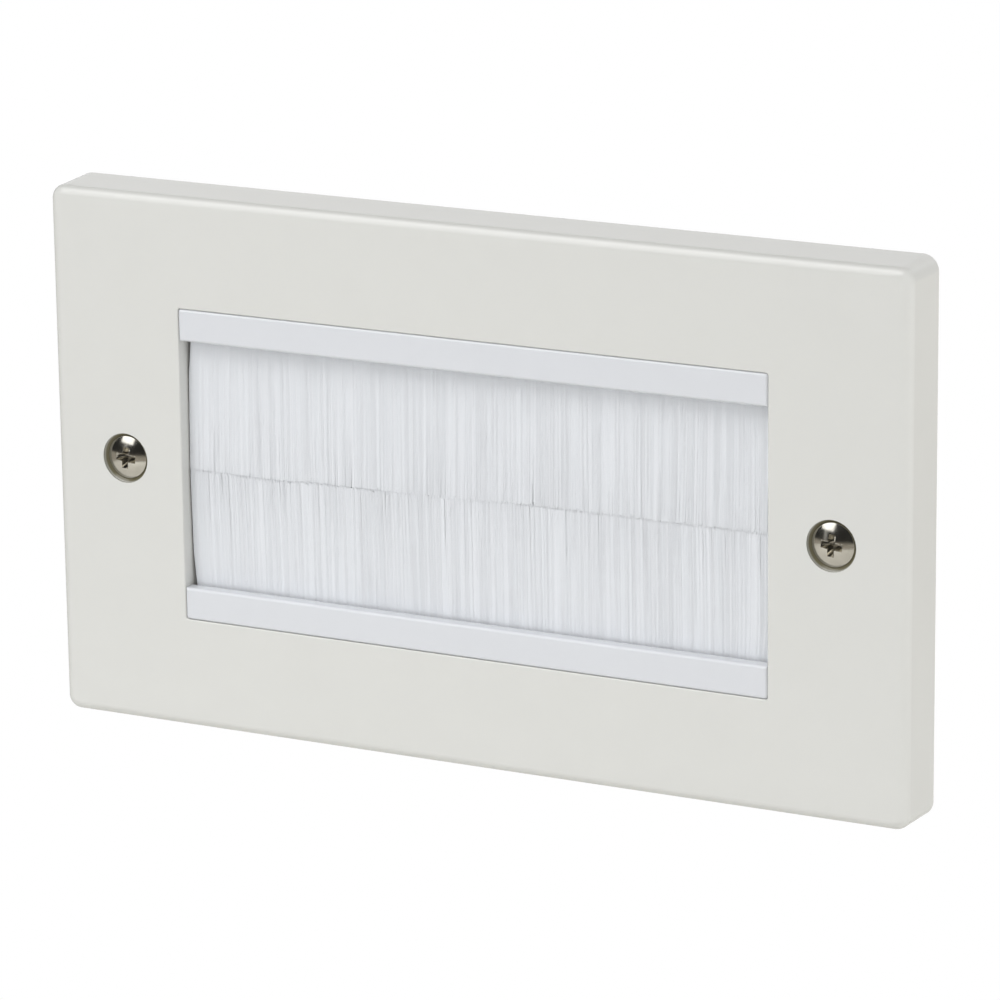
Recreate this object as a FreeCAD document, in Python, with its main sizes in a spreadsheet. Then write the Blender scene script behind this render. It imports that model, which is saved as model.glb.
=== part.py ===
"""Brush cable entry plate: a double-gang moulded wall plate with two clipped-in strip brushes.

The plate stands upright. X is its width, Z is up and Y runs from the room into the wall. The origin is
at the middle of the back rim, which meets the wall, so the front face lies at minus the plate's depth.
"""

import FreeCAD, Part
import math
import os
import re

import Sketcher

# Two places closer than this, in millimetres, are the same
SAME_PLACE = 1e-4

# Driving dimensions in millimetres, and angles in degrees
SIZES = {
    # moulded plate
    "plate_width": 146.0,
    "plate_height": 86.0,
    "plate_depth": 9.5,
    "side_draft": 0.35,  # how far each side leans in from the back rim to the front
    "corner_round": 2.5,
    "front_round": 1.5,
    "front_wall": 2.6,
    "rim_wall": 2.4,
    "cavity_corner": 1.0,
    "rear_recess": 0.8,  # collar and bosses stop this far inside the back rim
    "aperture_width": 100.1,
    "aperture_height": 50.1,
    "aperture_corner": 0.4,
    "mouth_round": 0.25,
    "collar_wall": 2.0,
    # stiffening ribs behind the front wall
    "rib_wall": 1.4,
    "rib_height": 3.2,
    "long_rib_pitch": 25.0,
    "end_rib_pitch": 17.0,
    # catches on the collar that hold the brush bars
    "catch_width": 1.4,
    "catch_reach": 0.6,
    "catch_length": 12.0,
    "catch_pitch": 25.0,
    # fixing screws and their holes
    "screw_centres": 120.6,
    "screw_clearance": 0.5,
    "boss_wall": 2.75,
    "head_diameter": 7.2,
    "sink_angle": 90.0,
    "sink_wall": 0.4,  # straight wall between the front face and the countersink
    "rim_gap": 0.4,  # space round the rim of the head
    "head_raise": 0.85,
    "head_round": 0.3,
    "head_seat_gap": 0.03,
    "thread_diameter": 3.5,
    "thread_length": 21.5,
    "plain_diameter": 3.1,
    "screw_length": 30.0,
    "point_chamfer": 0.5,
    "recess_span": 3.8,
    "recess_wing": 1.05,
    "recess_depth": 1.9,
    "recess_taper": 8.0,
    "recess_turn": 6.0,
    # brush bars
    "bar_gap": 0.05,
    "bar_front_wall": 1.8,
    "bar_back_wall": 1.4,
    "bar_web": 1.4,
    "bar_round": 0.45,
    "bar_hook": 1.0,  # the part of the bar behind the catches
    "bar_lead_in": 0.5,
    "lip_height": 0.6,
    "lip_reach": 0.3,
    "snap_clearance": 0.1,
    # crimped strip channels and core wires
    "strip_width": 3.4,
    "strip_height": 2.9,
    "strip_sheet": 0.45,
    "strip_bend": 0.7,
    "strip_clearance": 0.1,
    "strip_setback": 0.3,
    "jaw_pinch": 0.15,
    "press_gap": 0.03,
    "core_diameter": 1.0,
    # filaments
    "bristle_setback": 0.6,
    "bristle_flare": 0.38,  # how far each face spreads from the jaws to the tips
    "seam_drop": 0.7,  # the two rows of tips meet this far below mid height
    "tip_gap": 0.3,
    "tip_slant": 0.8,  # the upper tips hang this much lower at the front than at the back
    "tuft_pitch": 2.0,
    "groove_depth": 0.3,
    "groove_width": 0.9,
    "gap_start": 3.1,
    "gap_pitch": 5.7,
    "gap_width": 0.4,
    "gap_length": 5.5,
    "parting_start": 8.6,
    "parting_pitch": 13.4,
    "parting_width": 0.55,
    "parting_length": 9.5,
    "ragged_start": 5.3,
    "ragged_pitch": 4.3,
    "ragged_width": 3.2,
    "ragged_length": 0.45,
}

# Places and sizes that follow from the driving dimensions
DERIVED = {
    # planes across the depth of the plate
    "front": "-plate_depth",
    "inner_face": "front_wall - plate_depth",
    "standing_height": "plate_depth - front_wall - rear_recess",
    "cavity_width": "plate_width - 2 * rim_wall",
    "cavity_height": "plate_height - 2 * rim_wall",
    "collar_width": "aperture_width + 2 * collar_wall",
    "collar_height": "aperture_height + 2 * collar_wall",
    "collar_corner": "aperture_corner + collar_wall",
    "long_rib_count": "floor(collar_width / long_rib_pitch)",
    "catch_count": "floor(aperture_width / catch_pitch)",
    # screw
    "screw_side": "screw_centres / 2",
    "screw_hole": "thread_diameter + screw_clearance",
    "boss_diameter": "screw_hole + 2 * boss_wall",
    "sink_mouth": "head_diameter + 2 * rim_gap",
    "head_rim": "front + sink_wall + rim_gap / tan(sink_angle / 2) - head_seat_gap",
    "head_top": "head_rim - head_raise",
    "dome_radius": "((head_diameter / 2) ^ 2 + head_raise ^ 2) / (2 * head_raise)",
    "neck": "head_rim + (head_diameter - plain_diameter) / 2 / tan(sink_angle / 2)",
    "screw_end": "head_rim + screw_length",
    "thread_start": "screw_end - thread_length",
    # brush bar, with heights measured outwards from the middle of the aperture
    "bar_length": "aperture_width - 2 * bar_gap",
    "bar_outer": "aperture_height / 2 - bar_gap",
    "slot_width": "strip_width + 2 * strip_clearance",
    "slot_height": "strip_height + 2 * strip_clearance",
    "slot_front": "front + bar_front_wall",
    "slot_back": "slot_front + slot_width",
    "slot_outer": "bar_outer - bar_web",
    "slot_inner": "slot_outer - slot_height",
    "bar_inner": "slot_inner - lip_height",
    "bar_back": "slot_back + bar_back_wall",
    "groove_back": "bar_back - bar_hook",
    "catch_back": "groove_back - snap_clearance",
    "catch_front": "catch_back - catch_width",
    "groove_front": "catch_front - snap_clearance",
    "catch_tip": "aperture_height / 2 - catch_reach",
    "groove_floor": "catch_tip - snap_clearance",
    "bar_corner": "min(aperture_corner; catch_reach - bar_gap)",
    # strip brush
    "strip_length": "bar_length - 2 * strip_setback",
    "strip_middle": "slot_front + slot_width / 2",
    "strip_outer": "slot_outer - strip_clearance",
    "strip_inner": "strip_outer - strip_height",
    "fold_radius": "strip_width / 2 - strip_sheet - jaw_pinch - press_gap",
    "core_level": "strip_outer - strip_sheet - press_gap - fold_radius",
    "bristle_length": "bar_length - 2 * bristle_setback",
    "flare_half": "fold_radius + bristle_flare",
    "groove_count": "floor((bristle_length - tuft_pitch) / tuft_pitch)",
}


def expand(formula):
    """Write a formula of named sizes as an expression on the sheet."""

    def swap(match):
        word = match.group()
        if word in DERIVED:
            return "(" + expand(DERIVED[word]) + ")"
        return "Sizes." + word if word in SIZES else word

    return re.sub(r"[a-z_]+", swap, formula)


def value(formula):
    """Work out a formula of named sizes as a number."""
    return float(sheet.evalExpression(expand(formula)))


def make_sheet():
    """Put the driving dimensions in a sheet, one aliased cell each."""
    table = doc.addObject("Spreadsheet::Sheet", "Sizes")
    for row, (name, size) in enumerate(SIZES.items(), start=1):
        table.set(f"A{row}", name)
        table.set(f"B{row}", str(size))
        table.setAlias(f"B{row}", name)
    doc.recompute()
    return table


def new_body(name):
    """Start a solid piece."""
    body = doc.addObject("PartDesign::Body", name)
    body.Label = name
    return body


def origin_feature(body, role):
    """Find one of a body's own planes or axes."""
    return next(item for item in body.Origin.OriginFeatures if item.Role == role)


def new_sketch(body, name, plane, lift="0"):
    """Start a sketch on one of the body's planes, lifted along the plane's normal."""
    sketch = body.newObject("Sketcher::SketchObject", name)
    sketch.AttachmentSupport = [(origin_feature(body, plane), "")]
    sketch.MapMode = "FlatFace"
    sketch.setExpression("AttachmentOffset.Base.z", expand(lift))
    return sketch


def bind(sketch, constraint, formula):
    """Add a dimension to a sketch and tie it to the sheet."""
    index = sketch.addConstraint(Sketcher.Constraint(*constraint, value(formula)))
    sketch.setExpression(f"Constraints[{index}]", expand(formula))


def pin(sketch, geometry, point, across, up):
    """Hold a point of a sketch at a place given by two formulas."""
    bind(sketch, ("DistanceX", -1, 1, geometry, point), across)
    bind(sketch, ("DistanceY", -1, 1, geometry, point), up)


def flat(across, up):
    """Work out a sketch point from two formulas."""
    return FreeCAD.Vector(value(across), value(up), 0)


def join_loop(sketch, edges):
    """Join edges end to start into a closed loop."""
    for edge, following in zip(edges, edges[1:] + edges[:1]):
        sketch.addConstraint(Sketcher.Constraint("Coincident", edge, 2, following, 1))


def draw_outline(sketch, corners):
    """Draw a closed outline of straight lines through corners given as pairs of formulas."""
    places = [flat(across, up) for across, up in corners]
    lines = []
    for start, end in zip(places, places[1:] + places[:1]):
        lines.append(sketch.addGeometry(Part.LineSegment(start, end)))
    join_loop(sketch, lines)
    for line, corner in zip(lines, corners):
        pin(sketch, line, 1, *corner)


def draw_box(sketch, left, right, bottom, top):
    """Draw an upright rectangle between four formulas."""
    draw_outline(sketch, [(left, bottom), (right, bottom), (right, top), (left, top)])


def draw_circle(sketch, across, up, diameter):
    """Draw a circle."""
    circle = Part.Circle(flat(across, up), FreeCAD.Vector(0, 0, 1), value(diameter) / 2)
    index = sketch.addGeometry(circle)
    pin(sketch, index, 3, across, up)
    bind(sketch, ("Diameter", index), diameter)


def draw_arc(sketch, across, up, radius, first_angle, last_angle):
    """Draw an arc about a held centre, anticlockwise between two angles in degrees; its ends stay free."""
    circle = Part.Circle(flat(across, up), FreeCAD.Vector(0, 0, 1), value(radius))
    angles = math.radians(first_angle), math.radians(last_angle)
    index = sketch.addGeometry(Part.ArcOfCircle(circle, *angles))
    pin(sketch, index, 3, across, up)
    bind(sketch, ("Radius", index), radius)
    return index


def draw_rounded_box(sketch, width, height, radius):
    """Draw a rectangle with round corners about the sketch's centre."""
    across = f"{width} / 2 - {radius}"
    up = f"{height} / 2 - {radius}"
    arcs = []
    for quarter, (side, rise) in enumerate(((1, 1), (-1, 1), (-1, -1), (1, -1))):
        first = 90 * quarter
        arcs.append(draw_arc(sketch, f"{side} * ({across})", f"{rise} * ({up})", radius, first, first + 90))
    for arc, following in zip(arcs, arcs[1:] + arcs[:1]):
        start = sketch.Geometry[arc].EndPoint
        end = sketch.Geometry[following].StartPoint
        line = sketch.addGeometry(Part.LineSegment(start, end))
        sketch.addConstraint(Sketcher.Constraint("Tangent", arc, 2, line, 1))
        sketch.addConstraint(Sketcher.Constraint("Tangent", line, 2, following, 1))


def add_feature(body, kind, name, sketch, sizes, **settings):
    """Make a feature from a sketch, with its sizes tied to the sheet."""
    feature = body.newObject("PartDesign::" + kind, name)
    feature.Profile = sketch
    for setting, choice in settings.items():
        setattr(feature, setting, choice)
    for size, formula in sizes.items():
        feature.setExpression(size, expand(formula))
    doc.recompute()
    return feature


def cut(body, kind, name, sketch, sizes, **settings):
    """Make a cutting feature and see that it takes material away."""
    before = body.Shape.Volume
    feature = add_feature(body, kind, name, sketch, sizes, **settings)
    if feature.Shape.Volume >= before:
        raise RuntimeError(f"{name} cuts nothing")
    return feature


def round_edges(body, name, radius, chosen):
    """Round the edges of the body's last feature whose end points pass a test."""
    base = body.Tip
    edges = []
    for number, edge in enumerate(base.Shape.Edges, start=1):
        if chosen([vertex.Point for vertex in edge.Vertexes]):
            edges.append(f"Edge{number}")
    if not edges:
        raise RuntimeError(f"{name} finds no edge")
    fillet = body.newObject("PartDesign::Fillet", name)
    fillet.Base = (base, edges)
    fillet.setExpression("Radius", expand(radius))
    doc.recompute()


def repeat_across(body, feature, name, pitch, count, leftwards=False):
    """Repeat a feature along the width of the plate."""
    pattern = body.newObject("PartDesign::LinearPattern", name)
    pattern.Originals = [feature]
    pattern.Direction = (origin_feature(body, "X_Axis"), [""])
    pattern.Reversed = leftwards
    pattern.Mode = "Spacing"
    pattern.setExpression("Offset", expand(pitch))
    pattern.setExpression("Occurrences", expand(count))
    body.Tip = pattern
    doc.recompute()


def near(first, second):
    """Tell whether two places along an axis are the same."""
    return abs(first - second) < SAME_PLACE


def on_front(ends):
    """Tell whether an edge lies in the plane of the front face."""
    return all(near(point.y, value("front")) for point in ends)


def make_faceplate():
    """Mould the hollow plate with its aperture collar, catches, ribs, bosses and countersunk holes."""
    body = new_body("faceplate")
    outline = new_sketch(body, "plate_outline", "XZ_Plane")
    draw_rounded_box(outline, "plate_width", "plate_height", "corner_round")
    draft = {"Length": "plate_depth", "TaperAngle": "-atan(side_draft / plate_depth)"}
    add_feature(body, "Pad", "plate_block", outline, draft)
    round_edges(body, "front_edge", "front_round", on_front)

    cavity = new_sketch(body, "cavity_outline", "XZ_Plane")
    draw_rounded_box(cavity, "cavity_width", "cavity_height", "cavity_corner")
    cut(body, "Pocket", "cavity", cavity, {"Length": "plate_depth - front_wall"}, Reversed=True)

    # the collar and the two screw bosses stand in the hollow and stop short of the back rim
    collar = new_sketch(body, "collar_outline", "XZ_Plane", "-inner_face")
    draw_rounded_box(collar, "collar_width", "collar_height", "collar_corner")
    add_feature(body, "Pad", "collar", collar, {"Length": "standing_height"}, Reversed=True)
    bosses = new_sketch(body, "boss_outlines", "XZ_Plane", "-inner_face")
    for side in (-1, 1):
        draw_circle(bosses, f"{side} * screw_side", "0", "boss_diameter")
    add_feature(body, "Pad", "bosses", bosses, {"Length": "standing_height"}, Reversed=True)

    make_ribs(body)

    aperture = new_sketch(body, "aperture_outline", "XZ_Plane")
    draw_rounded_box(aperture, "aperture_width", "aperture_height", "aperture_corner")
    cut(body, "Pocket", "aperture", aperture, {"Length": "plate_depth"}, Reversed=True)
    reach = value("collar_width / 2")
    round_edges(
        body,
        "aperture_edge",
        "mouth_round",
        lambda ends: on_front(ends) and all(abs(point.x) < reach for point in ends),
    )

    make_catches(body)

    drill_screw_holes(body)
    return body


def make_ribs(body):
    """Stand the stiffening ribs on the inside of the front wall, between the collar and the rim."""
    for side in (-1, 1):
        long_rib = new_sketch(body, "long_rib_plan", "XZ_Plane", "-inner_face")
        ends = [f"{side} * collar_height / 2", f"{side} * cavity_height / 2"]
        middle = "(1 - long_rib_count) / 2 * long_rib_pitch"
        draw_box(long_rib, f"{middle} - rib_wall / 2", f"{middle} + rib_wall / 2", *ends)
        rib = add_feature(body, "Pad", "long_rib", long_rib, {"Length": "rib_height"}, Reversed=True)
        repeat_across(body, rib, "long_ribs", "long_rib_pitch", "long_rib_count")

        end_ribs = new_sketch(body, "end_rib_plan", "XZ_Plane", "-inner_face")
        for place in (-1, 0, 1):
            level = f"{place} * end_rib_pitch"
            ends = [f"{side} * collar_width / 2", f"{side} * cavity_width / 2"]
            draw_box(end_ribs, *ends, f"{level} - rib_wall / 2", f"{level} + rib_wall / 2")
        add_feature(body, "Pad", "end_ribs", end_ribs, {"Length": "rib_height"}, Reversed=True)


def make_catches(body):
    """Add the small catches above and below the aperture that snap into the bars."""
    for side in (-1, 1):
        first = "(1 - catch_count) / 2 * catch_pitch"
        profile = new_sketch(body, "catch_profile", "YZ_Plane", first)
        root = f"{side} * (aperture_height / 2 + collar_wall / 2)"
        tip = f"{side} * catch_tip"
        base = f"{side} * aperture_height / 2"
        draw_outline(
            profile,
            [
                ("catch_front", root),
                ("catch_front", base),
                ("catch_front + catch_reach / 2", tip),
                ("catch_back", tip),
                ("catch_back", root),
            ],
        )
        catch = add_feature(body, "Pad", "catch", profile, {"Length": "catch_length"}, SideType="Symmetric")
        repeat_across(body, catch, "catches", "catch_pitch", "catch_count")


def drill_screw_holes(body):
    """Sink straight-walled recesses for the screw heads, then drill and countersink their floors."""
    mouths = new_sketch(body, "sink_mouths", "XZ_Plane", "plate_depth")
    places = new_sketch(body, "screw_places", "XZ_Plane", "plate_depth - sink_wall")
    for side in (-1, 1):
        draw_circle(mouths, f"{side} * screw_side", "0", "sink_mouth")
        draw_circle(places, f"{side} * screw_side", "0", "screw_hole")
    cut(body, "Pocket", "head_recesses", mouths, {"Length": "sink_wall"})
    before = body.Shape.Volume
    hole = body.newObject("PartDesign::Hole", "screw_holes")
    hole.Profile = places
    doc.recompute()
    hole.ThreadType = "None"
    hole.DepthType = "ThroughAll"
    hole.HoleCutType = "Countersink"
    hole.HoleCutCustomValues = True
    hole.setExpression("Diameter", expand("screw_hole"))
    hole.setExpression("HoleCutDiameter", expand("sink_mouth"))
    hole.setExpression("HoleCutCountersinkAngle", expand("sink_angle"))
    doc.recompute()
    if hole.Shape.Volume >= before:
        raise RuntimeError("the screw holes cut nothing")


def make_brush_bar(name, side):
    """Mould a brush bar: a channel for the strip brush, with a groove that snaps over the catches."""
    body = new_body(name)
    section = new_sketch(body, "bar_section", "YZ_Plane")
    corners = [
        ("front", "bar_outer"),
        ("groove_front", "bar_outer"),
        ("groove_front", "groove_floor"),
        ("groove_back", "groove_floor"),
        ("groove_back", "bar_outer"),
        ("bar_back - bar_lead_in", "bar_outer"),
        ("bar_back", "bar_outer - bar_lead_in"),
        ("bar_back", "bar_inner"),
        ("slot_back - lip_reach", "bar_inner"),
        ("slot_back - lip_reach", "slot_inner"),
        ("slot_back", "slot_inner"),
        ("slot_back", "slot_outer"),
        ("slot_front", "slot_outer"),
        ("slot_front", "slot_inner"),
        ("slot_front + lip_reach", "slot_inner"),
        ("slot_front + lip_reach", "bar_inner"),
        ("front", "bar_inner"),
    ]
    draw_outline(section, [(depth, f"{side} * ({level})") for depth, level in corners])
    add_feature(body, "Pad", "bar_length", section, {"Length": "bar_length"}, SideType="Symmetric")
    outer = side * value("bar_outer")
    round_edges(
        body,
        "bar_corners",
        "bar_corner",
        lambda ends: all(near(point.z, outer) for point in ends) and near(ends[0].x, ends[-1].x),
    )
    round_edges(body, "bar_front_edge", "bar_round", on_front)
    return body


def make_strip_channel(name, side):
    """Fold the steel channel of a strip brush, its jaws pinched in on the filaments."""
    body = new_body(name)
    section = new_sketch(body, "channel_section", "YZ_Plane")
    corners = [
        ("strip_middle - strip_width / 2", "strip_outer"),
        ("strip_middle + strip_width / 2", "strip_outer"),
        ("strip_middle + strip_width / 2 - jaw_pinch", "strip_inner"),
        ("strip_middle + strip_width / 2 - jaw_pinch - strip_sheet", "strip_inner"),
        ("strip_middle + strip_width / 2 - strip_sheet", "strip_outer - strip_sheet"),
        ("strip_middle - strip_width / 2 + strip_sheet", "strip_outer - strip_sheet"),
        ("strip_middle - strip_width / 2 + jaw_pinch + strip_sheet", "strip_inner"),
        ("strip_middle - strip_width / 2 + jaw_pinch", "strip_inner"),
    ]
    draw_outline(section, [(depth, f"{side} * ({level})") for depth, level in corners])
    add_feature(body, "Pad", "channel_length", section, {"Length": "strip_length"}, SideType="Symmetric")
    back = side * value("strip_outer")
    round_edges(
        body,
        "channel_bend",
        "strip_bend",
        lambda ends: all(near(point.z, back) for point in ends) and not near(ends[0].x, ends[-1].x),
    )
    return body


def make_core_wire(name, side):
    """Draw the wire that the filaments are folded over."""
    wire = doc.addObject("Part::Cylinder", name)
    wire.Label = name
    wire.Placement.Rotation = FreeCAD.Rotation(FreeCAD.Vector(0, 1, 0), 90)
    wire.setExpression("Radius", expand("core_diameter / 2"))
    wire.setExpression("Height", expand("strip_length"))
    wire.setExpression("Placement.Base.x", expand("-strip_length / 2"))
    wire.setExpression("Placement.Base.y", expand("strip_middle"))
    wire.setExpression("Placement.Base.z", expand(f"{side} * core_level"))
    return wire


def make_bristles(name, side):
    """Fold the filaments over the core wire and part them into tufts towards their tips."""
    body = new_body(name)
    section = new_sketch(body, "bristle_section", "YZ_Plane")
    core = f"{side} * core_level"
    jaws = f"{side} * strip_inner"
    tips = f"{side} * tip_gap / 2 - seam_drop"
    first_angle = 0 if side > 0 else 180
    fold = draw_arc(section, "strip_middle", core, "fold_radius", first_angle, first_angle + 180)
    places = [
        (f"strip_middle - {side} * fold_radius", jaws),
        (f"strip_middle - {side} * flare_half", f"{tips} - {side} * tip_slant / 2"),
        (f"strip_middle + {side} * flare_half", f"{tips} + {side} * tip_slant / 2"),
        (f"strip_middle + {side} * fold_radius", jaws),
    ]
    points = [section.Geometry[fold].EndPoint]
    points += [flat(*place) for place in places]
    points.append(section.Geometry[fold].StartPoint)
    lines = [section.addGeometry(Part.LineSegment(start, end)) for start, end in zip(points, points[1:])]
    join_loop(section, [fold] + lines)
    for line, place in zip(lines, places):
        pin(section, line, 2, *place)
    bind(section, ("DistanceY", -1, 1, fold, 1), core)
    bind(section, ("DistanceY", -1, 1, fold, 2), core)
    draw_circle(section, "strip_middle", core, "core_diameter + 2 * press_gap")
    add_feature(body, "Pad", "bristle_pack", section, {"Length": "bristle_length"}, SideType="Symmetric")
    beyond = f"{side} * (tip_gap / 4 - tip_slant / 2) - seam_drop"
    notch_tips(body, side, beyond)
    part_tufts(body, side, beyond)
    return body


def part_tufts(body, side, beyond):
    """Groove both faces of the filaments between tufts, from beyond the tips to where the flare ends."""
    middle = "(1 - groove_count) / 2 * tuft_pitch"
    for face in (-1, 1):
        plan = new_sketch(body, "tuft_groove_plan", "XY_Plane", beyond)
        outside = f"strip_middle + {face} * (flare_half + groove_depth)"
        floor = f"strip_middle + {face} * (flare_half - groove_depth)"
        corners = [
            (f"{middle} - groove_width", outside),
            (f"{middle} + groove_width", outside),
            (middle, floor),
        ]
        draw_outline(plan, corners)
        groove = cut(body, "Pocket", "tuft_groove", plan, {"Length": "strip_inner"}, Reversed=side > 0)
        repeat_across(body, groove, "tuft_grooves", "tuft_pitch", "groove_count")


def notch_tips(body, side, beyond):
    """Open gaps between clumps of filaments, from beyond the tips, and leave the tips uneven."""
    for kind in ("gap", "parting", "ragged"):
        middle = f"{side} * ({kind}_start - bristle_length / 2)"
        corners = [
            (f"{middle} - {kind}_width / 2", beyond),
            (f"{middle} + {kind}_width / 2", beyond),
            (middle, f"{beyond} + {side} * (tip_slant + {kind}_length)"),
        ]
        plan = new_sketch(body, f"{kind}_plan", "XZ_Plane")
        draw_outline(plan, corners)
        notch = cut(body, "Pocket", f"{kind}_notch", plan, {"Length": "plate_depth"}, Reversed=True)
        count = f"floor((bristle_length - {kind}_start) / {kind}_pitch)"
        repeat_across(body, notch, f"{kind}_notches", f"{kind}_pitch", count, leftwards=side < 0)


def make_screw(name, side):
    """Turn a raised countersunk screw and sink its cross recess."""
    body = new_body(name)
    turned = new_sketch(body, "screw_profile", "XY_Plane")
    corners = [
        ("0", "head_top"),
        ("head_diameter / 2", "head_rim"),
        ("plain_diameter / 2", "neck"),
        ("plain_diameter / 2", "thread_start"),
        ("thread_diameter / 2", "thread_start + (thread_diameter - plain_diameter) / 2"),
        ("thread_diameter / 2", "screw_end - point_chamfer"),
        ("thread_diameter / 2 - point_chamfer", "screw_end"),
        ("0", "screw_end"),
    ]
    places = [flat(*corner) for corner in corners]
    half_way = "head_diameter / 4"
    bulge = flat(half_way, f"head_top + dome_radius - sqrt(dome_radius ^ 2 - ({half_way}) ^ 2)")
    edges = [turned.addGeometry(Part.Arc(places[0], bulge, places[1]))]
    for start, end in zip(places[1:], places[2:] + places[:1]):
        edges.append(turned.addGeometry(Part.LineSegment(start, end)))
    join_loop(turned, edges)
    for edge, corner in zip(edges, corners):
        pin(turned, edge, 1, *corner)
    bind(turned, ("Radius", edges[0]), "dome_radius")
    add_feature(body, "Revolution", "turned_screw", turned, {}, ReferenceAxis=(turned, ["V_Axis"]))
    rim = value("head_rim")
    round_edges(body, "head_edge", "head_round", lambda ends: all(near(point.y, rim) for point in ends))

    cross = new_sketch(body, "recess_outline", "XZ_Plane", "-(head_top)")
    draw_outline(cross, cross_corners("recess_wing / 2", "recess_span / 2"))
    sink = {"Length": "recess_depth", "TaperAngle": "-recess_taper"}
    cut(body, "Pocket", "cross_recess", cross, sink)

    body.Placement = FreeCAD.Placement(FreeCAD.Vector(), FreeCAD.Rotation(FreeCAD.Vector(0, 1, 0), 1))
    body.setExpression("Placement.Base.x", expand(f"{side} * screw_side"))
    body.setExpression("Placement.Rotation.Angle", expand("recess_turn"))
    return body


def cross_corners(wing, span):
    """List the twelve corners of an upright cross of given half wing and half span."""
    corner = [(wing, span), (wing, wing), (span, wing)]
    corners = []
    for _ in range(4):
        corners += corner
        corner = [(up, f"-({across})") for across, up in corner]
    return corners


def make_fixing_screws():
    """Group the two identical fixing screws."""
    pair = doc.addObject("Part::Compound", "fixing_screws")
    pair.Label = "fixing_screws"
    pair.Links = [make_screw("left_screw", -1), make_screw("right_screw", 1)]
    return pair


def check_and_write(pieces):
    """See that every feature and solid is sound, then write one file for each piece."""
    doc.recompute()
    for item in doc.Objects:
        if "Invalid" in item.State or "Error" in item.State:
            raise RuntimeError(f"{item.Label} failed")
    for piece in pieces:
        if piece.Shape.isNull() or not piece.Shape.isValid():
            raise RuntimeError(f"{piece.Label} has no sound shape")
    os.makedirs("parts", exist_ok=True)
    for piece in pieces:
        piece.Shape.exportStep(f"parts/{piece.Label}.step")


doc = FreeCAD.newDocument("brush_cable_entry_plate")
sheet = make_sheet()
sub_parts = [make_faceplate()]
for place, direction in (("upper", 1), ("lower", -1)):
    sub_parts.append(make_brush_bar(f"{place}_brush_bar", direction))
    sub_parts.append(make_strip_channel(f"{place}_strip_channel", direction))
    sub_parts.append(make_core_wire(f"{place}_core_wire", direction))
    sub_parts.append(make_bristles(f"{place}_bristles", direction))
sub_parts.append(make_fixing_screws())
check_and_write(sub_parts)
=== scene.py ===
"""Looks of the brush cable entry plate: its finishes, filaments, screws and studio.

Sizes in the classes are millimetres and degrees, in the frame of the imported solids: X is the plate's
width, Y runs into the wall and Z is up. Meshes are made in metres.
"""

import logging
import math
from collections.abc import Callable
from dataclasses import dataclass, field
from enum import Enum

import bmesh
import bpy
import numpy as np
from mathutils import Matrix, Vector


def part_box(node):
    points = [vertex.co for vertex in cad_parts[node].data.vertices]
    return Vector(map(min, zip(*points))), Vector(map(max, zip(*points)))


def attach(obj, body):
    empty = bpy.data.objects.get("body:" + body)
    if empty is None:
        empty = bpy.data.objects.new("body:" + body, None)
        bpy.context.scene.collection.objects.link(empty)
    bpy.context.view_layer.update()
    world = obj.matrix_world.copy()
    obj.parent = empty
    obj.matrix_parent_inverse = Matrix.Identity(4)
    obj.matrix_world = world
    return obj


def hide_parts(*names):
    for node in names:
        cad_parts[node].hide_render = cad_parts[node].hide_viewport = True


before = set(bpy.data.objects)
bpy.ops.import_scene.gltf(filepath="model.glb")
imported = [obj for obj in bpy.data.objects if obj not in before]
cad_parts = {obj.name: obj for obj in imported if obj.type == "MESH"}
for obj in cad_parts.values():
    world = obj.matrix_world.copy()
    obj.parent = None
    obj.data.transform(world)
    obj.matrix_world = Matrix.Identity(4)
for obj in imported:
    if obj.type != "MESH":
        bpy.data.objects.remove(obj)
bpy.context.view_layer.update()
log = logging.getLogger("brush_plate")

MM = 0.001
BODY = "root"

# points closer than MERGE are merged, points closer than SNAP to a cut lie on it, and places closer than
# NEAR count as one
MERGE = 0.001
SNAP = 0.0001
NEAR = 0.01

# sockets of the Mix node, whose colour sockets share their names with its others
MIX_SHARE = 0
MIX_FIRST = 6
MIX_SECOND = 7
MIX_RESULT = 2

# what a strand's points tell its finish: its tone, and the way that the pack faces there
STRAND_TONE = "strand_tone"
PACK_FACING = "pack_facing"

# where the plate's face and the screws' axes lie: the heads are round, so the box of the pair reaches as far
# past an axis sideways as it does upwards
PLATE_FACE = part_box("faceplate")[0].y / MM
SCREWS_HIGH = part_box("fixing_screws")[1] / MM
SCREW_REACH = SCREWS_HIGH.x - SCREWS_HIGH.z


# Small helpers for colours, nodes and hand modelling


def linear(hex_colour: str) -> tuple[float, float, float, float]:
    """Turn an sRGB hex colour to linear light.

    Args:
        hex_colour: Six hex digits after a hash mark.

    Returns:
        Linear red, green and blue, and an alpha of 1.
    """
    channels = [int(hex_colour[start : start + 2], 16) / 255 for start in (1, 3, 5)]
    light = [c / 12.92 if c <= 0.04045 else ((c + 0.055) / 1.055) ** 2.4 for c in channels]
    return (*light, 1.0)


def empty_tree(owner: bpy.types.Material | bpy.types.World) -> bpy.types.NodeTree:
    """Give the node tree of a material or a world, switched on and emptied.

    Args:
        owner: The material or world.

    Returns:
        Its node tree.
    """
    owner.use_nodes = True
    owner.node_tree.nodes.clear()
    return owner.node_tree


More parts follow.
